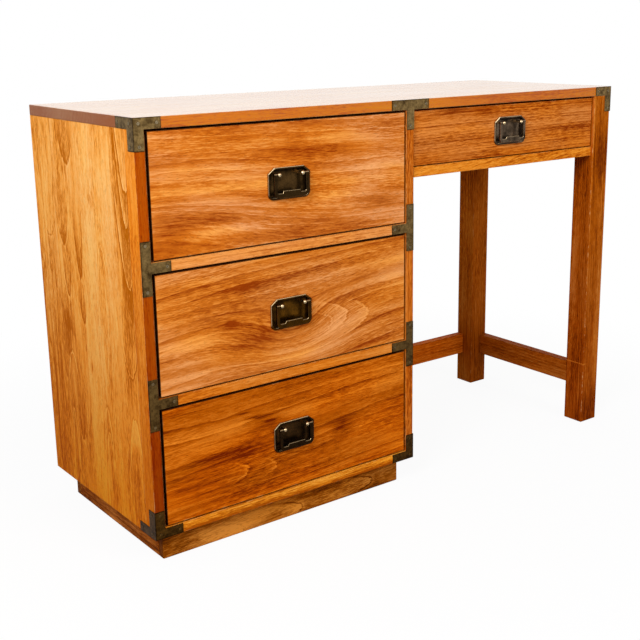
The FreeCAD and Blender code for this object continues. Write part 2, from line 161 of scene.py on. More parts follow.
def fall(tree, value, start, end):
    return ramp(tree, value, start, end, 1.0, 0.0)


def mixColours(tree, factor, first, second, blend="MIX"):
    node = addNode(tree, "ShaderNodeMix", data_type="RGBA", blend_type=blend)
    for entry, index in ((factor, 0), (first, 6), (second, 7)):  # the colour sockets stand at 6 and 7
        plug(tree, entry, node.inputs[index])
    return node.outputs[2]


def stained(tree, factor, colour, dye):
    return mixColours(tree, factor, colour, mixColours(tree, 1.0, colour, dye, "MULTIPLY"))


def noise(tree, vector, seed, scale=1.0, detail=2.0, roughness=0.5):
    values = {"Vector": vector, "W": seed, "Scale": scale, "Detail": detail, "Roughness": roughness}
    return addNode(tree, "ShaderNodeTexNoise", values, noise_dimensions="4D").outputs


def stretchedNoise(tree, vector, pace, seed, detail=2.0, roughness=0.5):
    stretched = vectorMaths(tree, "MULTIPLY", vector, pace)
    return noise(tree, stretched, seed, detail=detail, roughness=roughness)[0]


def newGroup(name, inputs, outputs):
    group = bpy.data.node_groups.new(name, "ShaderNodeTree")
    for label, start in inputs.items():
        kind = "Float" if isinstance(start, float) else "Vector" if len(start) == 3 else "Color"
        socket = group.interface.new_socket(name=label, in_out="INPUT", socket_type="NodeSocket" + kind)
        socket.default_value = start
    for label, kind in outputs.items():
        group.interface.new_socket(name=label, in_out="OUTPUT", socket_type="NodeSocket" + kind)
    return group, group.nodes.new("NodeGroupInput").outputs, group.nodes.new("NodeGroupOutput").inputs


def useGroup(tree, group, values):
    return addNode(tree, "ShaderNodeGroup", values, node_tree=group).outputs


def newMaterial(name):
    material = bpy.data.materials.new(name)
    material.use_nodes = True
    tree = material.node_tree
    tree.nodes.clear()
    output = addNode(tree, "ShaderNodeOutputMaterial")
    shader = addNode(tree, "ShaderNodeBsdfPrincipled")
    tree.links.new(shader.outputs[0], output.inputs["Surface"])
    return material, tree, shader


def finishSurface(tree, shader, tone, strength, depth):
    bump = addNode(tree, "ShaderNodeBump", {
        "Strength": strength, "Distance": depth, "Height": tone["Height"]})
    plug(tree, tone["Color"], shader.inputs["Base Color"])
    plug(tree, tone["Roughness"], shader.inputs["Roughness"])
    plug(tree, bump.outputs[0], shader.inputs["Normal"])


def giveMaterial(name, material):
    for place in nodes[name].material_slots:
        place.material = material


# wood groups
# Each pace counts waves for each metre: along the grain, across it, into the board.

boardWave = {"pace": (3.5, 10.0, 10.0), "detail": 3.5}


def makeBoardSpace():
    group, given, result = newGroup("board space", {
        "Vector": (0.0, 0.0, 0.0),
        "Centre": (0.0, 0.0, 0.0),
        "Along": (1.0, 0.0, 0.0),
        "Across": (0.0, 0.0, 1.0),
        "Deep": (0.0, 1.0, 0.0),
        "Sway": 0.006,
        "Seed": 0.0,
    }, {"Place": "Vector"})
    offset = vectorMaths(group, "SUBTRACT", given["Vector"], given["Centre"])
    parts = [vectorMaths(group, "DOT_PRODUCT", offset, given[k]) for k in ("Along", "Across", "Deep")]
    straight = join(group, *parts)
    slow = vectorMaths(group, "MULTIPLY", straight, boardWave["pace"])
    wave = noise(group, slow, given["Seed"], detail=boardWave["detail"])[1]
    wave = vectorMaths(group, "SUBTRACT", wave, (0.5, 0.5, 0.5))
    reach = join(group, y=given["Sway"], z=given["Sway"])
    swayed = vectorMaths(group, "ADD", straight, vectorMaths(group, "MULTIPLY", wave, reach))
    plug(group, swayed, result["Place"])
    return group


staveShift = {"along": 1.31, "deep": 0.73}  # metres to the next stave's own piece of the tree


def makeFlow():
    group, given, result = newGroup("grain flow", {
        "Place": (0.0, 0.0, 0.0),
        "Slope": 0.0,
        "Swell": 0.0,
        "Stave": 0.0,
    }, {"Grain": "Vector"})
    x, y, z = split(group, given["Place"])
    along = add(group, x, times(group, given["Stave"], staveShift["along"]))
    across = less(group, add(group, y, given["Swell"]), times(group, x, given["Slope"]))
    deep = add(group, z, times(group, given["Stave"], staveShift["deep"]))
    plug(group, join(group, along, across, deep), result["Grain"])
    return group


ringShape = {
    "jagPace": (22.0, 170.0, 170.0),
    "jagReach": 0.45,  # share of a ring
    "lateness": 5.0,  # how late in the ring the dark line gathers
    "lateShare": 0.7,
    "evenShare": 0.3,
    "lineEnd": 0.93,  # from here the line breaks off
    "faintest": 0.15,  # strength of the faintest line
    "luckShare": 0.85,
    "glowWidth": 0.2,  # pale start of the ring
}


def makeFigure():
    group, given, result = newGroup("growth figure", {
        "Grain": (0.0, 0.0, 0.0),
        "Pace": (1.6, 10.0, 10.0),
        "Drift": (0.0, 90.0, 50.0),  # lines for each metre
        "Swing": 5.0,
        "Seed": 0.0,
    }, {"Lines": "Float", "Glow": "Float"})
    grain, seed = given["Grain"], given["Seed"]
    shape = stretchedNoise(group, grain, given["Pace"], seed, detail=1.0)
    jags = stretchedNoise(group, grain, ringShape["jagPace"], seed)
    drifted = vectorMaths(group, "DOT_PRODUCT", grain, given["Drift"])
    count = add(group, drifted, times(group, shape, given["Swing"]))
    count = add(group, count, times(group, jags, ringShape["jagReach"]))
    part = maths(group, "FRACT", count)
    ring = add(group, maths(group, "FLOOR", count), seed)
    luck = addNode(group, "ShaderNodeTexWhiteNoise", {"W": ring}, noise_dimensions="1D").outputs["Value"]
    late = times(group, maths(group, "POWER", part, ringShape["lateness"]), ringShape["lateShare"])
    fade = add(group, late, times(group, part, ringShape["evenShare"]))
    line = times(group, fade, fall(group, part, ringShape["lineEnd"], 1.0))
    strength = scaled(group, luck, ringShape["luckShare"], ringShape["faintest"])
    plug(group, times(group, line, strength), result["Lines"])
    plug(group, times(group, fall(group, part, 0.0, ringShape["glowWidth"]), luck), result["Glow"])
    return group


flameShape = {
    "jagPace": (70.0, 260.0, 260.0),
    "jagReach": 0.02,
    "brim": 0.0008,  # metres on both sides of the outline over which the body starts
    "rings": 75.0,  # for each metre inwards
    "ringTone": 1.15,
    "ringFall": 0.5,
    "line": (0.0006, 0.0024),  # metres from the outline at which its line starts to fade and ends
    "haloPlace": 0.0034,  # metres outside the outline
    "halo": (0.0008, 0.003),
    "haloShare": 0.4,
}


def makeFlame():
    group, given, result = newGroup("flame", {
        "Place": (0.0, 0.0, 0.0),
        "Tip": (0.0, 0.0, 0.0),  # along, across, and which way it opens
        "Bend": 60.0,
        "Fade": 0.05,
        "Width": 0.03,
        "Line": 0.3,
        "Amount": 0.3,
        "Seed": 0.0,
    }, {"Tone": "Float"})
    place, bend = given["Place"], given["Bend"]
    x, y = split(group, place)[:2]
    tipX, tipY, way = split(group, given["Tip"])
    beside = less(group, y, tipY)
    squared = square(group, beside)
    inward = less(group, times(group, less(group, x, tipX), way), times(group, squared, bend))
    jags = less(group, stretchedNoise(group, place, flameShape["jagPace"], given["Seed"]), 0.5)
    inward = add(group, inward, times(group, jags, flameShape["jagReach"]))
    steep = times(group, times(group, beside, bend), 2.0)
    steep = maths(group, "SQRT", add(group, square(group, steep), 1.0))
    gap = over(group, inward, steep)  # square to the outline
    body = maths(group, "EXPONENT", over(group, times(group, inward, -1.0), given["Fade"]))
    filled = ramp(group, gap, -flameShape["brim"], flameShape["brim"])
    body = times(group, maths(group, "MINIMUM", body, 1.0), filled)
    nested = maths(group, "FRACT", times(group, inward, flameShape["rings"]))
    rings = less(group, flameShape["ringTone"], times(group, nested, flameShape["ringFall"]))
    body = times(group, body, rings)
    line = times(group, fall(group, maths(group, "ABSOLUTE", gap), *flameShape["line"]), given["Line"])
    outside = maths(group, "ABSOLUTE", add(group, gap, flameShape["haloPlace"]))
    halo = times(group, fall(group, outside, *flameShape["halo"]), given["Line"])
    line = less(group, line, times(group, halo, flameShape["haloShare"]))
    tone = add(group, times(group, body, given["Amount"]), line)
    spread = over(group, squared, square(group, given["Width"]))
    plug(group, times(group, tone, bell(group, spread)), result["Tone"])
    return group


def makeSpot():
    group, given, result = newGroup("soft spot", {
        "Place": (0.0, 0.0, 0.0),
        "Middle": (0.0, 0.0, 0.0),  # along, across
        "Size": (0.05, 0.01, 1.0),  # half length, half height
        "Amount": 0.3,
    }, {"Tone": "Float"})
    offset = vectorMaths(group, "SUBTRACT", given["Place"], given["Middle"])
    offset = vectorMaths(group, "DIVIDE", offset, given["Size"])
    gap = vectorMaths(group, "LENGTH", vectorMaths(group, "MULTIPLY", offset, (1.0, 1.0, 0.0)))
    plug(group, times(group, bell(group, gap), given["Amount"]), result["Tone"])
    return group


fibreKinds = {  # the streaks' pace comes from the board's own fibre length and width
    "Streaks": {"pace": None, "detail": 3.0, "roughness": 0.65, "span": (0.3, 0.7)},
    "Threads": {"pace": (55.0, 520.0, 520.0), "detail": 2.0, "roughness": 0.7, "span": (0.32, 0.68)},
    "Pores": {"pace": (110.0, 780.0, 780.0), "detail": 1.0, "roughness": 0.5, "span": (0.6, 0.7)},
    "Clouds": {"pace": (5.0, 22.0, 22.0), "detail": 2.5, "roughness": 0.5, "span": (0.3, 0.7)},
    "Bands": {"pace": (2.4, 70.0, 70.0), "seed": 0.7, "detail": 1.5, "roughness": 0.5, "span": (0.36, 0.64)},
    "Warmth": {"pace": (4.0, 17.0, 17.0), "seed": 0.4, "detail": 3.0, "roughness": 0.5, "span": (0.36, 0.62)},
}


def makeFibres():
    group, given, result = newGroup("fibres", {
        "Grain": (0.0, 0.0, 0.0),
        "Length": 0.08,
        "Width": 0.004,
        "Seed": 0.0,
    }, {label: "Float" for label in fibreKinds})
    crosswise = over(group, 1.0, given["Width"])
    streakPace = join(group, over(group, 1.0, given["Length"]), crosswise, crosswise)
    for label, kind in fibreKinds.items():
        seed = add(group, given["Seed"], kind["seed"]) if "seed" in kind else given["Seed"]
        pattern = stretchedNoise(group, given["Grain"], kind["pace"] or streakPace, seed,
                                 kind["detail"], kind["roughness"])
        plug(group, ramp(group, pattern, *kind["span"]), result[label])
    return group


wearShape = {
    "scale": 42.0,
    "detail": 4.0,
    "roughness": 0.7,
    "patches": (0.42, 0.75),  # where the noise starts to wear the edge, and where it wears the full width
    "core": 0.35,  # share of the worn width that is fully bare
    "soft": 0.0003,
    "edge": (0.0004, 0.0022),  # metres from the edge at which its line starts to fade and ends
}


def makeEdgeWear():
    group, given, result = newGroup("edge wear", {
        "Vector": (0.0, 0.0, 0.0),
        "Low": (0.0, 0.0, 0.0),
        "High": (1.0, 1.0, 1.0),
        "Width": 0.002,
        "Amount": 0.5,
        "Seed": 0.0,
    }, {"Wear": "Float", "Edge": "Float"})
    place = given["Vector"]
    x, y, z = split(group, insideBox(group, place, given["Low"], given["High"]))
    total = add(group, add(group, x, y), z)
    least = maths(group, "MINIMUM", maths(group, "MINIMUM", x, y), z)
    most = maths(group, "MAXIMUM", maths(group, "MAXIMUM", x, y), z)
    near = less(group, less(group, total, least), most)  # distance to the nearest edge
    rough = noise(group, place, given["Seed"],
                  wearShape["scale"], wearShape["detail"], wearShape["roughness"])[0]
    reach = times(group, given["Width"], ramp(group, rough, *wearShape["patches"]))
    bare = fall(group, near, times(group, reach, wearShape["core"]), add(group, reach, wearShape["soft"]))
    plug(group, times(group, bare, given["Amount"]), result["Wear"])
    plug(group, fall(group, near, *wearShape["edge"]), result["Edge"])
    return group


woodFinish = {
    "tan": (0.97, 1.02, 1.45, 1.0),
    "orange": (1.04, 0.93, 0.4, 1.0),
    "poreDye": (0.42, 0.32, 0.22, 1.0),
    "endShare": 0.8,  # how much of the end grain's own colour shows
    "edgeTint": (0.55, 0.42, 0.3, 1.0),
    "edgeShare": 0.3,
    "worn": (0.93, 0.58, 0.24, 1.0),
    "wornShare": 0.6,
    "gapShadeColour": (0.03, 0.015, 0.01, 1.0),
    "gapShadeMost": 0.95,
    "poreRough": 0.4,
    "toneRough": 0.12,
    "wearRough": 0.2,
    "mostRough": 0.95,
    "wearDepth": 0.8,
}


def makeWoodTone():
    group, given, result = newGroup("wood tone", {
        "Light": (1.0, 1.0, 1.0, 1.0),
        "Middle": (0.5, 0.5, 0.5, 1.0),
        "Dark": (0.1, 0.1, 0.1, 1.0),
        "End": (0.1, 0.1, 0.1, 1.0),
        "Tone": 0.0,  # below nought is light, above is dark
        "Warmth": 0.5,
        "Relief": 0.0,
        "Pores": 0.0,
        "End Grain": 0.0,
        "Flank": 0.0,
        "Flank Lighting": (1.0, 1.0, 1.0, 1.0),
        "Low Shade Colour": (0.55, 0.3, 0.08, 1.0),
        "Lowness": 0.0,
        "Wear": 0.0,
        "Edge": 0.0,
        "Seam": 0.0,
        "Gloss": 0.3,
    }, {"Color": "Color", "Roughness": "Float", "Height": "Float"})
    tone, pores, wear = given["Tone"], given["Pores"], given["Wear"]
    lower = add(group, times(group, tone, 2.0), 1.0, clamp=True)
    upper = times(group, tone, 2.0, clamp=True)
    colour = mixColours(group, lower, given["Light"], given["Middle"])
    colour = mixColours(group, upper, colour, given["Dark"])
    hue = mixColours(group, given["Warmth"], woodFinish["tan"], woodFinish["orange"])
    colour = mixColours(group, 1.0, colour, hue, "MULTIPLY")
    colour = stained(group, pores, colour, woodFinish["poreDye"])
    # painted light and shade on the faces that look across the grain
    colour = stained(group, given["Flank"], colour, given["Flank Lighting"])
    endColour = mixColours(group, woodFinish["endShare"], colour, given["End"])
    colour = mixColours(group, given["End Grain"], colour, endColour)
    # painted shade: darker towards the floor
    colour = stained(group, given["Lowness"], colour, given["Low Shade Colour"])
    # darker within about 2 mm of every edge
    edge = times(group, given["Edge"], woodFinish["edgeShare"])
    colour = stained(group, edge, colour, woodFinish["edgeTint"])
    wornColour = mixColours(group, woodFinish["wornShare"], colour, woodFinish["worn"])
    colour = mixColours(group, wear, colour, wornColour)
    # painted shade of the gaps beside a drawer front, darkening its face near the edges
    gapShade = maths(group, "MINIMUM", given["Seam"], woodFinish["gapShadeMost"])
    plug(group, stained(group, gapShade, colour, woodFinish["gapShadeColour"]), result["Color"])
    rough = sumOf(group, (
        given["Gloss"],
        times(group, pores, woodFinish["poreRough"]),
        times(group, tone, woodFinish["toneRough"]),
        times(group, wear, woodFinish["wearRough"])))
    plug(group, maths(group, "MINIMUM", rough, woodFinish["mostRough"]), result["Roughness"])
    sunk = sumOf(group, (given["Relief"], pores, times(group, wear, woodFinish["wearDepth"])))
    plug(group, times(group, sunk, -1.0), result["Height"])
    return group


boardSpace = makeBoardSpace()
grainFlow = makeFlow()
growthFigure = makeFigure()
flame = makeFlame()
softSpot = makeSpot()
fibres = makeFibres()
edgeWear = makeEdgeWear()
woodTone = makeWoodTone()
print("wood groups made")


# dressing a board

plainBoard = {
    "axes": "xzy",  # along the grain, across it on the face, into the board
    "slope": 0.0,  # degrees that the grain climbs towards the far end
    "sway": 0.006,  # metres that the grain wanders
    "staves": (),  # glue lines: metres across from the middle of the board, change of tone beyond it
    "pace": (1.6, 10.0, 10.0),
    "drift": (0.0, 90.0, 50.0),
    "swing": 5.0,
    "figure": 0.5,
    "fineDrift": (0.0, 340.0, 170.0),
    "fineFigure": 0.4,
    "fibreLength": 0.08,
    "fibreWidth": 0.004,
    "streaks": 0.26,
    "threads": 0.4,
    "clouds": 0.3,
    "bands": 0.0,
    "hueSwing": 0.6,  # how far the colour strays between tan and orange
    "pores": 0.5,
    "gapShade": (0.0, 0.0, 0.0),  # painted shade of the gap along the left end, the lower and the upper edge, metres
    "swells": (),  # along, across, half length, half height, how far the grain is pushed
    "spots": (),  # along, across, half length, half height, amount
    "flames": (),  # along, across, way, bend, fade, width, line, amount
    "dye": (1.0, 1.0, 1.0, 1.0),
    # painted light and shade: colour change on the faces that look across the grain, lighter or darker than
    # the faces beside them
    "flankLighting": (1.0, 1.0, 1.0, 1.0),
    "lowShadeColour": (0.55, 0.32, 0.08, 1.0),  # painted shade: the colour that the board darkens towards, down at the floor
    "low": 0.0,
    "gloss": 0.42,
    "specular": 0.012,
    "coat": 0.0,  # lacquer, on the face that looks up
    "wear": 0.4,
    "wearWidth": 0.0016,
    "seed": 1.0,
    "bump": 0.25,
}

fineRings = {"pace": (4.0, 30.0, 30.0), "swing": 4.0, "seed": 0.5}

toneMix = {
    "lineMean": 0.15,  # usual strength of the ring lines
    "fibreMean": 0.5,
    "glow": 0.35,
    "markStreaks": 0.5,  # spots are broken up by the streaks
    "markStart": 0.75,
    "busyClouds": 1.1,  # calm and lively stretches
    "busyStart": 0.45,
}

surface = {
    "facing": (0.6, 0.9),  # how squarely a face looks along an axis to be an end, a flank or the top
    "lowFrom": 0.74,  # height at which the painted shade towards the floor starts
    "gapShadeCore": 0.55,
    "gapShadeStrengths": (1.0, 0.75, 1.0),
    "relief": 0.0006,
    "coatRough": 0.2,
}

unitAxes = {"x": Vector((1, 0, 0)), "y": Vector((0, 1, 0)), "z": Vector((0, 0, 1))}


def addSpots(tree, place, spots):
    total = 0.0
    for x, y, length, tall, amount in spots:
        tone = useGroup(tree, softSpot, {
            "Place": place, "Middle": (x, y, 0.0), "Size": (length, tall, 1.0), "Amount": amount})["Tone"]
        total = add(tree, total, tone)
    return total


def addFlames(tree, place, flames, seed):
    total = 0.0
    for x, y, way, bend, fade, width, line, amount in flames:
        tone = useGroup(tree, flame, {
            "Place": place, "Tip": (x, y, way), "Bend": bend, "Fade": fade, "Width": width, "Line": line,
            "Amount": amount, "Seed": seed})["Tone"]
        total = add(tree, total, tone)
    return total


# painted shade of the gaps beside a drawer front: its face darkens near the left end, the lower and the upper
# edge
def addGapShades(tree, board, spot, low, high):
    inset = split(tree, vectorMaths(tree, "SUBTRACT", spot, low))
    insets = (inset["X"], inset["Z"], less(tree, (high - low).z, inset["Z"]))
    gapShades = [times(tree, fall(tree, gap, wide * surface["gapShadeCore"], wide), strength)
             for gap, wide, strength in zip(insets, board["gapShade"], surface["gapShadeStrengths"]) if wide]
    return sumOf(tree, gapShades)


# tone of a board from all its marks, and the relief that its small ones leave
def boardTone(tree, board, place, grain, threads, beyond):
    figure = useGroup(tree, growthFigure, {
        "Grain": grain, "Pace": board["pace"], "Drift": board["drift"], "Swing": board["swing"],
        "Seed": board["seed"]})
    fine = useGroup(tree, growthFigure, {
        "Grain": grain, "Pace": fineRings["pace"], "Drift": board["fineDrift"], "Swing": fineRings["swing"],
        "Seed": board["seed"] + fineRings["seed"]})
    lines = less(tree, figure["Lines"], toneMix["lineMean"])
    lines = less(tree, lines, times(tree, figure["Glow"], toneMix["glow"]))
    marks = times(tree, addSpots(tree, place, board["spots"]),
                  scaled(tree, threads["Streaks"], toneMix["markStreaks"], toneMix["markStart"]))
    small = sumOf(tree, (around(tree, fine["Lines"], toneMix["lineMean"], board["fineFigure"]),
                         around(tree, threads["Threads"], toneMix["fibreMean"], board["threads"])))
    busy = scaled(tree, threads["Clouds"], toneMix["busyClouds"], toneMix["busyStart"])
    parts = [
        marks,
        addFlames(tree, place, board["flames"], board["seed"]),
        times(tree, lines, board["figure"]),
        times(tree, small, busy),
        sumOf(tree, [times(tree, flag, step) for flag, step in beyond]),
    ]
    for label in ("Streaks", "Clouds", "Bands"):
        parts.append(around(tree, threads[label], toneMix["fibreMean"], board[label.lower()]))
    return sumOf(tree, parts), small


def dressBoard(name, colours, changes):
    board = {**plainBoard, **changes}
    low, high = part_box(name)
    along, across, deep = (unitAxes[a] for a in board["axes"])
    seed = board["seed"]
    material, tree, shader = newMaterial(name + ".wood")
    coordinates = addNode(tree, "ShaderNodeTexCoord").outputs
    spot, normal = coordinates["Object"], coordinates["Normal"]
    place = useGroup(tree, boardSpace, {
        "Vector": spot, "Centre": (low + high) / 2, "Along": along, "Across": across, "Deep": deep,
        "Sway": board["sway"], "Seed": seed})["Place"]
    side = split(tree, place)["Y"]
    beyond = [(maths(tree, "GREATER_THAN", side, line), step) for line, step in board["staves"]]
    grain = useGroup(tree, grainFlow, {
        "Place": place, "Slope": math.tan(math.radians(board["slope"])),
        "Swell": addSpots(tree, place, board["swells"]),
        "Stave": sumOf(tree, [flag for flag, step in beyond])})["Grain"]
    threads = useGroup(tree, fibres, {
        "Grain": grain, "Length": board["fibreLength"], "Width": board["fibreWidth"], "Seed": seed})
    edges = useGroup(tree, edgeWear, {
        "Vector": spot, "Low": low, "High": high, "Width": board["wearWidth"], "Amount": board["wear"],
        "Seed": seed})
    depth, small = boardTone(tree, board, place, grain, threads, beyond)
    endwise = maths(tree, "ABSOLUTE", vectorMaths(tree, "DOT_PRODUCT", normal, along))
    flank = maths(tree, "ABSOLUTE", vectorMaths(tree, "DOT_PRODUCT", normal, across))
    # painted shade: the board darkens towards the floor, by its share low
    lowness = ramp(tree, split(tree, spot)["Z"], surface["lowFrom"], 0.0)
    light, middle, dark, end = [[c * d for c, d in zip(colour, board["dye"])] for colour in colours]
    tone = useGroup(tree, woodTone, {
        "Light": light, "Middle": middle, "Dark": dark, "End": end, "Tone": depth, "Relief": small,
        "Warmth": add(tree, around(tree, threads["Warmth"], 0.5, board["hueSwing"]), 0.5),
        "Pores": times(tree, threads["Pores"], board["pores"]),
        "End Grain": ramp(tree, endwise, *surface["facing"]), "Flank": ramp(tree, flank, *surface["facing"]),
        "Flank Lighting": board["flankLighting"], "Low Shade Colour": board["lowShadeColour"],
        "Lowness": times(tree, lowness, board["low"]), "Wear": edges["Wear"], "Edge": edges["Edge"],
        "Seam": addGapShades(tree, board, spot, low, high), "Gloss": board["gloss"]})
    finishSurface(tree, shader, tone, board["bump"], surface["relief"])
    shader.inputs["Specular IOR Level"].default_value = board["specular"]
    if board["coat"]:
        up = ramp(tree, split(tree, normal)["Z"], *surface["facing"])
        plug(tree, times(tree, up, board["coat"]), shader.inputs["Coat Weight"])
    shader.inputs["Coat Roughness"].default_value = surface["coatRough"]
    giveMaterial(name, material)


# the boards

palettes = {  # light, middle, dark, end grain
    "side": (tint(255, 198, 118), tint(245, 162, 68), tint(188, 102, 4), tint(150, 90, 50)),
    "lipping": (tint(252, 172, 76), tint(240, 142, 36), tint(196, 90, 4), tint(150, 90, 50)),
    # the top's colours are paler than its wood, partly painted sheen so that the face looking up reads near
    # white; its flank lighting brings the front and back edges back to the wood's orange
    "top": (tint(250, 208, 158), tint(242, 184, 124), tint(200, 122, 64), tint(124, 58, 0)),
    "rail": (tint(254, 176, 98), tint(228, 142, 66), tint(176, 84, 12), tint(140, 70, 20)),
    "lowRail": (tint(254, 168, 66), tint(226, 128, 26), tint(172, 80, 6), tint(140, 70, 20)),
    # the drawer fronts' end-grain colours are near black: end grain, and painted shade for the gaps beside
    # the drawers
    "upper": (tint(252, 176, 104), tint(210, 116, 36), tint(152, 60, 6), tint(60, 30, 12)),
    "middle": (tint(246, 168, 94), tint(206, 116, 38), tint(148, 60, 8), tint(60, 30, 12)),
    # the lower drawer's colours: its wood, darkened further as painted shade towards the floor
    "lower": (tint(228, 126, 28), tint(178, 81, 1), tint(106, 30, 0), tint(50, 25, 8)),
    "kneehole": (tint(230, 142, 66), tint(194, 104, 30), tint(138, 54, 4), tint(60, 30, 12)),
    "leg": (tint(212, 130, 54), tint(174, 85, 6), tint(108, 40, 0), tint(110, 55, 20)),
    "plinth": (tint(226, 150, 70), tint(152, 82, 10), tint(68, 22, 0), tint(90, 45, 15)),
    "box": (tint(226, 190, 140), tint(206, 166, 116), tint(164, 120, 76), tint(150, 110, 70)),
    "hidden": (tint(206, 150, 92), tint(180, 120, 66), tint(132, 80, 40), tint(120, 75, 40)),
}

straightGrain = {"drift": (0.0, 130.0, 90.0), "swing": 2.5, "sway": 0.004, "fibreLength": 0.14}

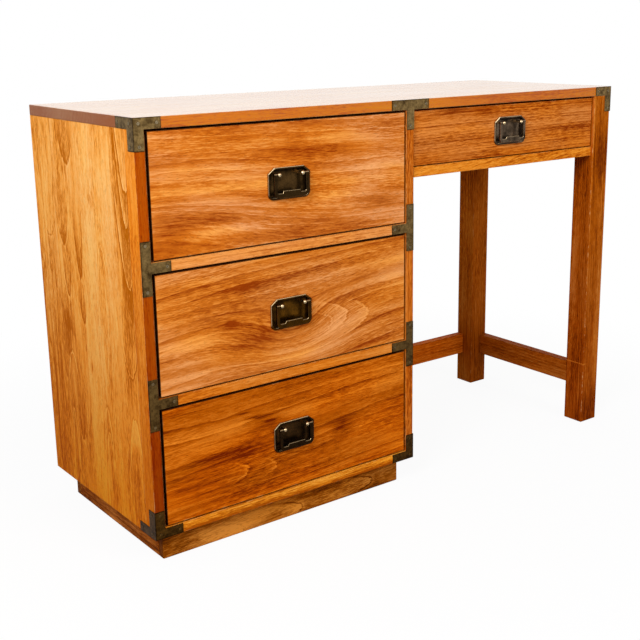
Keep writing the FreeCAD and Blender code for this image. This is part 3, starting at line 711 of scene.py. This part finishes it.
caseBoards = {
    "desk_top": ("top", {
        "axes": "xyz", "seed": 3.0, "gloss": 0.3, "coat": 1.0, "specular": 0.4, "hueSwing": 0.3,
        "threads": 0.36, "flankLighting": (0.71, 0.34, 0.0, 1.0),
        "spots": (
            (-0.5715, -0.14, 0.006, 0.07, 1.2), (-0.5715, 0.0, 0.006, 0.05, 0.4),
            (-0.5715, 0.17, 0.006, 0.06, 0.6))}),
    "left_side_panel": ("side", {
        "axes": "zyx", "seed": 11.0, "low": 0.95, "sway": 0.012, "clouds": 0.35, "streaks": 0.34,
        "threads": 0.55, "fineFigure": 0.3, "lowShadeColour": (0.64, 0.42, 0.0, 1.0), "hueSwing": 0.2, "bands": 0.15,
        "fibreLength": 0.16, "fibreWidth": 0.006, "pace": (2.4, 9.0, 9.0), "drift": (0.0, 30.0, 22.0),
        "swing": 8.0, "figure": 0.45,
        "staves": ((-0.144, -0.05), (-0.065, -0.08), (0.006, 0.18), (0.102, -0.05)),
        "spots": (
            (0.12, -0.03, 0.2, 0.028, -0.35), (0.2, -0.1, 0.12, 0.03, -0.15),
            (-0.041, 0.083, 0.045, 0.02, 0.5), (-0.09, 0.145, 0.12, 0.035, 0.25),
            (-0.091, -0.011, 0.012, 0.006, 0.6), (-0.25, -0.165, 0.05, 0.02, 0.3),
            (0.15, 0.06, 0.12, 0.035, -0.1), (-0.25, -0.02, 0.12, 0.02, -0.2),
            (-0.24, 0.15, 0.11, 0.045, 0.25)),
        "flames": (
            (0.27, 0.041, 1.0, 60.0, 0.06, 0.026, 0.4, 0.6),
            (0.07, 0.012, 1.0, 300.0, 0.07, 0.018, 0.4, 0.7),
            (0.123, 0.076, 1.0, 90.0, 0.05, 0.022, 0.3, 0.5),
            (0.027, 0.068, 1.0, 250.0, 0.04, 0.016, 0.6, 0.4),
            (-0.012, 0.01, 1.0, 200.0, 0.04, 0.016, 0.4, 0.5),
            (-0.081, 0.074, -1.0, 120.0, 0.12, 0.024, -0.5, 0.2),
            (-0.196, 0.085, -1.0, 900.0, 0.1, 0.012, -0.5, 0.25),
            (-0.246, 0.049, 1.0, 400.0, 0.02, 0.01, 0.8, 0.3),
            (0.242, -0.184, -1.0, -130.0, 0.05, 0.04, 0.6, 0.6),
            (0.186, -0.182, -1.0, -160.0, 0.09, 0.04, 0.6, 0.8),
            (0.081, -0.18, -1.0, -110.0, 0.06, 0.036, 0.9, 0.7),
            (-0.073, -0.165, -1.0, -60.0, 0.02, 0.024, 0.7, 0.1),
            (-0.146, -0.168, -1.0, 140.0, 0.08, 0.028, -0.5, -0.3),
            (-0.154, -0.062, -1.0, 300.0, 0.2, 0.03, -0.5, 0.15),
            (-0.2, -0.065, -1.0, 500.0, 0.15, 0.02, -0.5, 0.2),
            (0.14, -0.077, -1.0, 200.0, 0.12, 0.02, -0.4, 0.25),
            (0.13, 0.135, 1.0, 40.0, 0.02, 0.03, 0.4, -0.15))}),
    "left_side_lipping": ("lipping", {
        **straightGrain, "axes": "zyx", "seed": 12.0, "low": 0.9, "clouds": 0.35, "figure": 0.35,
        "lowShadeColour": (0.5, 0.36, 0.0, 1.0), "flankLighting": (0.52, 0.27, 0.05, 1.0)}),
    "right_side_panel": ("side", {"axes": "zyx", "seed": 14.0, "low": 0.9, "hueSwing": 0.2}),
    "right_side_lipping": ("kneehole", {
        **straightGrain, "axes": "zyx", "seed": 15.0, "low": 0.2, "dye": (1.05, 0.95, 0.5, 1.0),
        "threads": 0.6, "bands": 0.3}),
    "upper_divider_rail": ("rail", {**straightGrain, "seed": 21.0}),
    "lower_divider_rail": ("lowRail", {
        **straightGrain, "seed": 22.0, "clouds": 0.5, "dye": (0.86, 0.8, 0.9, 1.0)}),
    "pedestal_bottom": ("lowRail", {
        **straightGrain, "seed": 23.0, "clouds": 0.7, "threads": 0.5, "dye": (0.97, 1.02, 0.7, 1.0),
        "spots": ((0.0, 0.004, 0.9, 0.005, -0.35), (0.0, -0.008, 0.9, 0.005, 0.5))}),
    "pedestal_back": ("hidden", {"axes": "zxy", "seed": 24.0}),
    "upper_divider_runners": ("box", {"axes": "yxz", "seed": 25.0, "wear": 0.0}),
    "lower_divider_runners": ("box", {"axes": "yxz", "seed": 26.0, "wear": 0.0}),
    "kneehole_runners": ("box", {"axes": "yxz", "seed": 27.0, "wear": 0.0}),
    "plinth_front": ("plinth", {
        "seed": 31.0, "clouds": 0.6, "slope": 3.0, "streaks": 0.1, "figure": 0.15, "fineFigure": 0.2,
        "bands": 0.1, "dye": (0.95, 0.86, 0.5, 1.0),
        "spots": (
            # the first spot is a painted shadow along the top, under the case's overhang
            (0.0, 0.034, 0.5, 0.014, 1.0), (-0.17, -0.02, 0.07, 0.02, -0.3), (0.1, -0.01, 0.06, 0.01, -0.3),
            (-0.03, -0.02, 0.04, 0.016, 0.35), (0.2, -0.03, 0.04, 0.012, 0.3)),
        "flames": (
            (0.03, -0.014, -1.0, 130.0, 0.09, 0.02, 0.35, -0.5),
            (0.2, -0.006, -1.0, 160.0, 0.06, 0.018, 0.4, -0.4),
            (-0.1, -0.018, -1.0, 110.0, 0.08, 0.02, 0.2, -0.3))}),
    "plinth_left": ("plinth", {
        "axes": "yzx", "seed": 32.0, "clouds": 0.8, "streaks": 0.15, "fineFigure": 0.25, "low": 0.6,
        # a painted shadow along the top, under the case's overhang
        "spots": ((0.0, 0.036, 0.5, 0.014, 0.7),)}),
    "plinth_right": ("plinth", {"axes": "yzx", "seed": 33.0}),
    "plinth_back": ("plinth", {"seed": 34.0}),
    "front_leg": ("leg", {
        **straightGrain, "axes": "zxy", "seed": 41.0, "low": 0.6, "wear": 0.6, "wearWidth": 0.0026,
        "clouds": 0.5, "bands": 0.3, "dye": (1.12, 1.2, 1.1, 1.0), "flankLighting": (0.89, 0.82, 0.9, 1.0),
        "spots": (
            # the first two are painted shade: darker bands across the leg near its top and near its foot
            (0.24, 0.0, 0.07, 0.1, 0.3), (-0.34, 0.0, 0.05, 0.1, 0.2),
            (-0.232, -0.025, 0.0013, 0.008, -0.7))}),  # the last is a thin pale nick in the left edge
    "rear_leg": ("leg", {
        **straightGrain, "axes": "zxy", "seed": 42.0, "low": 0.4, "fineFigure": 0.25,
        "dye": (1.08, 1.14, 1.1, 1.0), "flankLighting": (1.08, 1.16, 1.0, 1.0),
        # both spots are painted shade: darker bands across the leg near its top and near its foot
        "spots": ((0.24, 0.0, 0.09, 0.1, 0.35), (-0.27, 0.0, 0.07, 0.1, 0.3))}),
    "side_stretcher": ("leg", {**straightGrain, "axes": "yzx", "seed": 43.0, "dye": (0.78, 0.7, 0.5, 1.0)}),
    "rear_stretcher": ("leg", {**straightGrain, "seed": 44.0, "dye": (1.3, 1.1, 0.6, 1.0)}),
    "kneehole_front_rail": ("lowRail", {
        **straightGrain, "seed": 45.0, "slope": 7.0, "threads": 0.8, "clouds": 0.5,
        "dye": (0.96, 0.9, 0.6, 1.0)}),
    "kneehole_back_rail": ("leg", {**straightGrain, "seed": 46.0}),
    "kneehole_side_apron": ("leg", {**straightGrain, "axes": "yzx", "seed": 47.0}),
}

drawerFace = {
    "drift": (0.0, 54.0, 44.0), "figure": 0.56, "fineFigure": 0.2, "threads": 0.36, "streaks": 0.14,
    "clouds": 0.36, "bands": 0.26, "gapShade": (0.0014, 0.001, 0.0016), "wear": 0.6, "wearWidth": 0.0028,
}

drawerFronts = {
    "upper": {
        **drawerFace, "seed": 51.0, "slope": -1.5, "hueSwing": 0.7, "figure": 0.42, "fineFigure": 0.28,
        "swells": ((-0.26, -0.05, 0.22, 0.05, -0.034),),
        "spots": (
            (0.001, 0.061, 0.05, 0.028, 0.25), (-0.099, 0.088, 0.06, 0.014, 0.3),
            (0.068, 0.09, 0.08, 0.016, 0.2), (0.122, 0.053, 0.06, 0.012, 0.25),
            (-0.162, 0.011, 0.14, 0.03, -0.25), (0.1, -0.032, 0.09, 0.01, -0.4),
            (-0.241, -0.064, 0.045, 0.035, 0.4), (-0.141, -0.07, 0.07, 0.01, -0.25),
            (-0.016, -0.09, 0.3, 0.014, 0.25), (0.201, -0.055, 0.045, 0.012, 0.35),
            (-0.165, -0.05, 0.06, 0.014, 0.3), (0.2, 0.01, 0.09, 0.028, -0.2))},
    "middle": {
        **drawerFace, "seed": 52.0, "slope": 3.0, "dye": (1.0, 0.99, 0.94, 1.0),
        "swells": ((0.005, -0.045, 0.11, 0.055, 0.046),),
        "flames": (
            (0.126, -0.028, -1.0, 55.0, 0.07, 0.032, -0.26, -0.3),
            (0.174, -0.032, -1.0, 42.0, 0.05, 0.036, -0.24, -0.25),
            (0.09, -0.036, -1.0, 70.0, 0.04, 0.026, -0.2, 0.2)),
        "spots": (
            (-0.176, 0.08, 0.055, 0.009, -0.4), (-0.087, 0.057, 0.035, 0.01, 0.35),
            (-0.212, 0.065, 0.07, 0.012, 0.15), (-0.126, -0.004, 0.013, 0.007, 0.7),
            (-0.191, -0.035, 0.07, 0.025, -0.2), (-0.07, -0.04, 0.05, 0.016, 0.35),
            (0.026, -0.08, 0.1, 0.014, -0.25), (0.2, -0.093, 0.08, 0.01, 0.25),
            (0.24, 0.03, 0.06, 0.06, -0.2))},
    "lower": {
        **drawerFace, "seed": 53.0, "slope": 1.5, "hueSwing": 0.9, "fineFigure": 0.32,
        "dye": (1.08, 1.12, 1.1, 1.0),
        "flames": (
            (-0.1, -0.045, -1.0, 80.0, 0.04, 0.018, -0.3, -0.3),
            (-0.04, -0.05, -1.0, 90.0, 0.03, 0.016, -0.2, -0.2)),
        "spots": (
            (-0.06, 0.038, 0.035, 0.012, 0.4), (-0.13, -0.004, 0.08, 0.016, 0.3),
            (0.1, -0.004, 0.05, 0.016, 0.35), (-0.05, 0.036, 0.012, 0.002, 0.8),
            (-0.09, 0.05, 0.02, 0.0015, 0.6), (-0.105, 0.062, 0.014, 0.0015, 0.5),
            (0.112, -0.02, 0.022, 0.02, 0.35), (-0.16, 0.014, 0.1, 0.008, -0.2),
            (0.18, 0.06, 0.11, 0.04, -0.2), (-0.2, -0.055, 0.07, 0.03, 0.3),
            (-0.072, 0.05, 0.024, 0.004, 0.5))},
    "kneehole": {
        **straightGrain, "drift": (0.0, 190.0, 90.0), "figure": 1.0, "seed": 54.0, "slope": 0.5,
        "threads": 0.6, "bands": 0.35, "hueSwing": 0.8, "gapShade": (0.0012, 0.001, 0.0),
        "dye": (0.98, 0.94, 0.75, 1.0), "wear": 0.6,
        "spots": (
            (-0.16, 0.0, 0.1, 0.03, -0.12), (0.18, -0.007, 0.08, 0.005, 0.35),
            (-0.07, 0.042, 0.035, 0.008, 0.6), (-0.05, -0.012, 0.12, 0.002, 0.4),
            (0.1, -0.03, 0.1, 0.0016, 0.4), (-0.2, 0.02, 0.07, 0.0016, 0.4),
            (0.14, 0.03, 0.09, 0.012, -0.2), (0.0, -0.036, 0.3, 0.016, -0.15),
            (-0.15, 0.047, 0.045, 0.006, 0.7), (0.0, 0.042, 0.3, 0.016, 0.15))},
}

boxBoards = {
    "sides": {"axes": "yzx", "seed": 61.0, "wear": 0.0},
    "back": {"seed": 71.0, "wear": 0.0},
    "bottom": {"axes": "xyz", "seed": 81.0, "wear": 0.0},
}

for name, (palette, changes) in caseBoards.items():
    dressBoard(name, palettes[palette], changes)
for number, (drawer, changes) in enumerate(drawerFronts.items()):
    dressBoard(drawer + "_drawer_front", palettes[drawer], changes)
    for part, look in boxBoards.items():  # a seed of its own for each drawer's boards
        dressBoard(f"{drawer}_drawer_{part}", palettes["box"], {**look, "seed": look["seed"] + number})
print("boards dressed")


# metal

metalShape = {
    "patch": {"detail": 4.0, "roughness": 0.65, "span": (0.25, 0.75)},
    "speck": {"scale": 520.0, "span": (0.45, 0.7), "share": 0.3},
    "darkeningColour": (0.14, 0.12, 0.12, 1.0),
    "lowShadeColour": (0.3, 0.21, 0.08, 1.0),
    "highlightSpan": (0.25, 0.6),  # the painted highlight is halved on dark patches
    "highlightLeast": 0.5,
    "smoothSpan": (0.3, 0.7),
    "smoother": 0.12,  # how much smoother light patches and painted-highlight places are
    "patchHeight": 0.6,
    "speckHeight": 0.4,
}


def makeOldMetal():
    group, given, result = newGroup("old metal", {
        "Vector": (0.0, 0.0, 0.0),
        "Base": (0.2, 0.15, 0.1, 1.0),
        "Dark": (0.05, 0.04, 0.02, 1.0),
        "Bright": (0.6, 0.5, 0.35, 1.0),
        "Highlight": 0.0,
        "Lowness": 0.0,
        "Darkening": 0.0,
        "Size": 0.01,
        "Gloss": 0.4,
        "Seed": 0.0,
    }, {"Color": "Color", "Roughness": "Float", "Height": "Float"})
    place, seed, dark = given["Vector"], given["Seed"], given["Dark"]
    large, small = metalShape["patch"], metalShape["speck"]
    patch = noise(group, place, seed, over(group, 1.0, given["Size"]), large["detail"], large["roughness"])[0]
    speck = noise(group, place, seed, small["scale"])[0]
    colour = mixColours(group, ramp(group, patch, *large["span"]), dark, given["Base"])
    colour = mixColours(group, times(group, ramp(group, speck, *small["span"]), small["share"]), colour, dark)
    colour = stained(group, given["Darkening"], colour, metalShape["darkeningColour"])
    # painted highlight, halved on dark patches
    highlight = times(group, given["Highlight"],
                   ramp(group, patch, *metalShape["highlightSpan"], metalShape["highlightLeast"], 1.0))
    colour = mixColours(group, highlight, colour, given["Bright"])
    # painted shade: darker towards the floor
    plug(group, stained(group, given["Lowness"], colour, metalShape["lowShadeColour"]), result["Color"])
    rough = add(group, given["Gloss"],
                times(group, ramp(group, patch, *metalShape["smoothSpan"]), -metalShape["smoother"]))
    plug(group, less(group, rough, times(group, highlight, metalShape["smoother"])), result["Roughness"])
    height = add(group, times(group, patch, metalShape["patchHeight"]),
                 times(group, speck, metalShape["speckHeight"]))
    plug(group, height, result["Height"])
    return group


oldMetal = makeOldMetal()

metals = {  # size of the patches in metres, low: how far painted shade darkens the metal down at the floor
    "plate": {"base": tint(168, 138, 86), "dark": tint(70, 50, 24), "size": 0.009, "gloss": 0.5, "low": 1.0,
              "seed": 5.0},
    "screw": {"base": tint(52, 40, 24), "dark": tint(30, 22, 12), "bright": tint(186, 164, 126),
              "size": 0.003, "gloss": 0.42, "low": 1.0, "crown": (0.988, 0.9995), "seed": 6.0},
    "pull": {"dark": tint(30, 20, 8), "bright": tint(232, 206, 160), "size": 0.02, "gloss": 0.36, "low": 0.4,
             "seed": 7.0},
    "post": {"base": tint(236, 214, 174), "dark": tint(170, 144, 100), "size": 0.004, "gloss": 0.3,
             "low": 0.2, "seed": 8.0},
}

pulls = {  # the tray's colour, and the bail's share of its brightness
    "upper": {"tint": tint(120, 88, 48), "bail": 0.45},
    "middle": {"tint": tint(138, 90, 24), "bail": 0.45},
    "lower": {"tint": tint(98, 69, 37), "bail": 0.45},
    "kneehole": {"tint": tint(164, 138, 112), "bail": 0.8},
}

metalReach = {
    "lowFrom": 0.78,  # height at which the painted shade towards the floor starts
    "leftShare": 0.75,  # how much the flanks that look left get the painted highlight beside those that look up
    "turned": (0.2, 0.75),
    "crest": (0.0012, 0.003),  # metres behind the foremost point at which the painted highlight fades and ends
    "walls": (0.005, 0.015),  # metres from the tray's outline at which the dish's painted shade fades and ends
    "rim": (0.0008, 0.003),  # metres behind the front at which the rim ends and the dish starts
    "rimShade": 0.5,
    "outlineDarkening": 0.75,
    "bump": 0.25,
    "relief": 0.0004,
}


def metalMaterial(name, metal, crest=None, hollow=None, outline=None):
    material, tree, shader = newMaterial(name)
    coordinates = addNode(tree, "ShaderNodeTexCoord").outputs
    place = coordinates["Object"]
    spot = split(tree, place)
    # Lowness is painted shade: the metal darkens towards the floor
    values = {
        "Vector": place, "Base": metal["base"], "Dark": metal["dark"], "Size": metal["size"],
        "Gloss": metal["gloss"], "Seed": metal["seed"],
        "Lowness": times(tree, ramp(tree, spot["Z"], metalReach["lowFrom"], 0.0), metal["low"])}
    if "bright" in metal:
        values["Bright"] = metal["bright"]
    if "crown" in metal:  # painted highlight on the crown: how squarely the middle of a domed head faces out
        normal = split(tree, vectorMaths(tree, "ABSOLUTE", coordinates["Normal"]))
        values["Highlight"] = ramp(tree, maths(tree, "MAXIMUM", normal["X"], normal["Y"]), *metal["crown"])
    if crest is not None:  # painted highlight: foremost flanks that look up or left, towards the key lamp, are made bright; faces stay dark
        normal = split(tree, coordinates["Normal"])
        turned = less(tree, normal["Z"], times(tree, normal["X"], metalReach["leftShare"] * metal["highlightStrength"]))
        start, end = (crest + step for step in metalReach["crest"])
        values["Highlight"] = times(tree, ramp(tree, spot["Y"], start, end, metal["highlightStrength"], 0.0),
                                 ramp(tree, turned, *metalReach["turned"]))
    if hollow is not None:  # painted shade: the rim is darkened by half and the dish is blackest next to its walls
        low, high = hollow
        inset = split(tree, insideBox(tree, place, low, high))
        nearWall = fall(tree, maths(tree, "MINIMUM", inset["X"], inset["Z"]), *metalReach["walls"])
        start, end = (low.y + step for step in metalReach["rim"])
        values["Darkening"] = ramp(tree, spot["Y"], start, end, metalReach["rimShade"], nearWall)
    if outline is not None:  # darker along folds and outer edges
        low, high = outline
        edges = useGroup(tree, edgeWear, {"Vector": place, "Low": low, "High": high, "Seed": metal["seed"]})
        values["Darkening"] = times(tree, edges["Edge"], metalReach["outlineDarkening"])
    finishSurface(tree, shader, useGroup(tree, oldMetal, values), metalReach["bump"], metalReach["relief"])
    shader.inputs["Metallic"].default_value = 1.0
    return material


for name in nodes:
    if name.startswith("bracket") and name != "bracket_screws":
        giveMaterial(name, metalMaterial(name + ".brass", metals["plate"], outline=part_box(name)))
giveMaterial("bracket_screws", metalMaterial("agedBrassScrew", metals["screw"]))
postMetal = metalMaterial("brightPost", metals["post"])
for drawer, pull in pulls.items():
    for part, highlightStrength, shade in (("tray", 1.0, 1.0), ("bail", 0.5, pull["bail"])):
        name = f"{drawer}_drawer_pull_{part}"
        metal = {**metals["pull"], "base": (*[c * shade for c in pull["tint"][:3]], 1.0), "highlightStrength": highlightStrength}
        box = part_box(name)
        hollow = box if part == "tray" else None
        giveMaterial(name, metalMaterial(name + ".bronze", metal, crest=box[0].y, hollow=hollow))
    giveMaterial(drawer + "_drawer_pull_posts", postMetal)
print("metal dressed")


# floor, background and light

white = (1.0, 1.0, 1.0, 1.0)

floorLook = {
    "reach": 14.0,
    "drop": 0.0002,  # metres below the feet
    "grey": 0.55,  # what the desk sees of the floor
    "seen": 0.95,  # what the camera sees of it
    "rough": 0.9,
    "shadow": 0.07,  # how much of the floor's own light and shadow shows
    "shadowFades": (0.6, 1.4),  # metres from the middle of the desk
}


def makeFloor():
    reach = floorLook["reach"]
    corners = [(x * reach, y * reach, -floorLook["drop"]) for x, y in ((-1, -1), (1, -1), (1, 1), (-1, 1))]
    mesh = bpy.data.meshes.new("floor")
    mesh.from_pydata(corners, [], [(0, 1, 2, 3)])
    floor = bpy.data.objects.new("floor", mesh)
    bpy.context.scene.collection.objects.link(floor)
    material, tree, shader = newMaterial("paleFloor")
    path = addNode(tree, "ShaderNodeLightPath").outputs
    unseen, seen = ((*[floorLook[k]] * 3, 1.0) for k in ("grey", "seen"))
    plug(tree, mixColours(tree, path["Is Camera Ray"], unseen, seen), shader.inputs["Base Color"])
    shader.inputs["Roughness"].default_value = floorLook["rough"]
    glow = addNode(tree, "ShaderNodeEmission", {"Color": white, "Strength": 1.0})
    far = vectorMaths(tree, "LENGTH", addNode(tree, "ShaderNodeTexCoord").outputs["Object"])
    shown = times(tree, fall(tree, far, *floorLook["shadowFades"]), floorLook["shadow"])
    clean = times(tree, path["Is Camera Ray"], less(tree, 1.0, shown))
    blend = addNode(tree, "ShaderNodeMixShader", {0: clean, 1: shader.outputs[0], 2: glow.outputs[0]})
    tree.links.new(blend.outputs[0], tree.get_output_node("ALL").inputs["Surface"])
    mesh.materials.append(material)


studio = {"fill": 0.42}  # the background's light on the desk; the camera and reflections see it white


def makeBackground():
    world = bpy.data.worlds.new("studio")
    bpy.context.scene.world = world
    world.use_nodes = True
    tree = world.node_tree
    tree.nodes.clear()
    path = addNode(tree, "ShaderNodeLightPath").outputs
    fill = addNode(tree, "ShaderNodeBackground", {"Color": white, "Strength": studio["fill"]})
    plain = addNode(tree, "ShaderNodeBackground", {"Color": white, "Strength": 1.0})
    seen = maths(tree, "MAXIMUM", path["Is Camera Ray"], path["Is Glossy Ray"])
    seen = maths(tree, "MAXIMUM", seen, path["Is Transmission Ray"])
    blend = addNode(tree, "ShaderNodeMixShader", {0: seen, 1: fill.outputs[0], 2: plain.outputs[0]})
    output = addNode(tree, "ShaderNodeOutputWorld")
    tree.links.new(blend.outputs[0], output.inputs["Surface"])


lamps = {
    "key": {"place": (-2.6, -1.5, 2.2), "aim": (-0.1, -0.1, 0.45), "size": 1.2, "power": 70.0},
    "front": {"place": (0.5, -3.2, 2.3), "aim": (0.0, -0.1, 0.4), "size": 1.4, "power": 38.0},
}


def makeLamps():
    for name, lamp in lamps.items():
        data = bpy.data.lights.new(name, "AREA")
        data.size = lamp["size"]
        data.energy = lamp["power"]
        body = bpy.data.objects.new(name, data)
        body.location = lamp["place"]
        body.rotation_mode = "QUATERNION"
        body.rotation_quaternion = (Vector(lamp["aim"]) - Vector(lamp["place"])).to_track_quat("-Z", "Y")
        body.visible_camera = False
        bpy.context.scene.collection.objects.link(body)


makeFloor()
makeBackground()
makeLamps()
bpy.context.scene.view_settings.view_transform = "Standard"
print("floor, background and light set")
